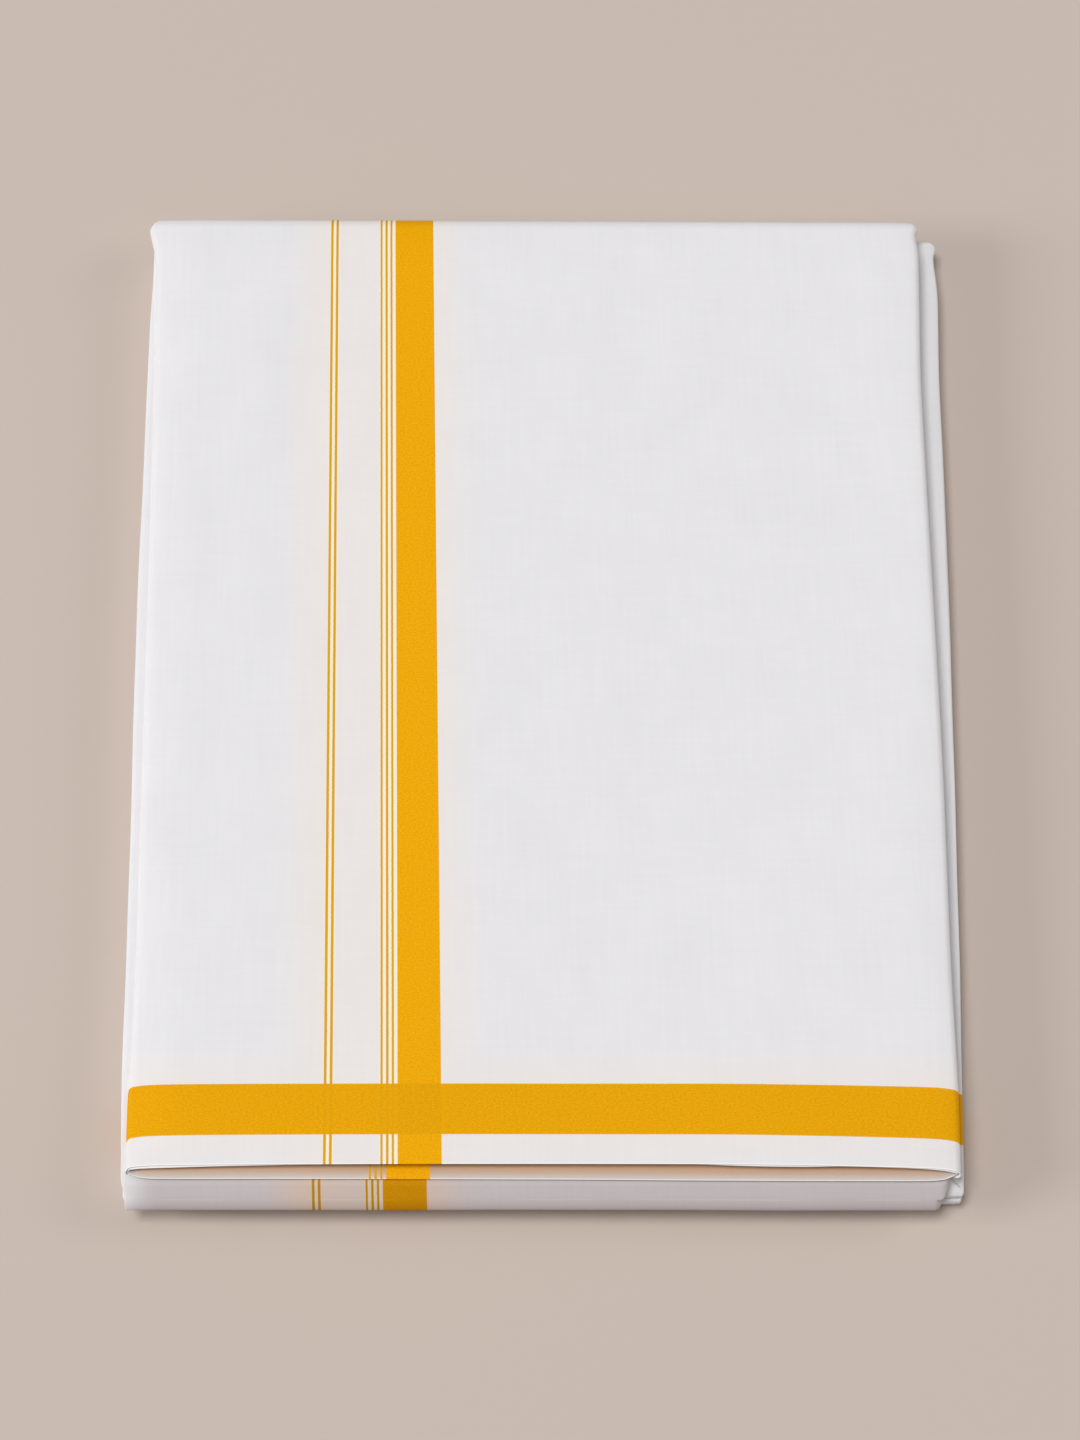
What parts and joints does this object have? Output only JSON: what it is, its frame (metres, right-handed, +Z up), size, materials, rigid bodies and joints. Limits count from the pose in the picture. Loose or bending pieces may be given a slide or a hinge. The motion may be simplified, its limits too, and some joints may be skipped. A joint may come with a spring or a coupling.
{
  "type": "folded dhoti cloth",
  "caption": "White cotton dhoti folded into a flat packet, with woven gold bands along its border and across its front.",
  "frame": {"origin": "on the underside, at the middle of the packet's box", "axes": "+Y from the flap's hem to the top fold, +Z up, out of the front panel, +X to the right of someone facing the front panel"},
  "size_m": [0.2524, 0.322, 0.023],
  "materials": {
    "banded_cotton": "plain-woven fine white cotton, matt with a faint sheen, with flat woven metallic gold bands and thin lines",
    "plain_cotton": "plain-woven fine white cotton, matt"
  },
  "bodies": {
    "root": {"front_panel": "banded_cotton", "second_layer": "banded_cotton", "bottom_fold": "banded_cotton", "inner_layers": "plain_cotton"}
  },
  "joints": []
}
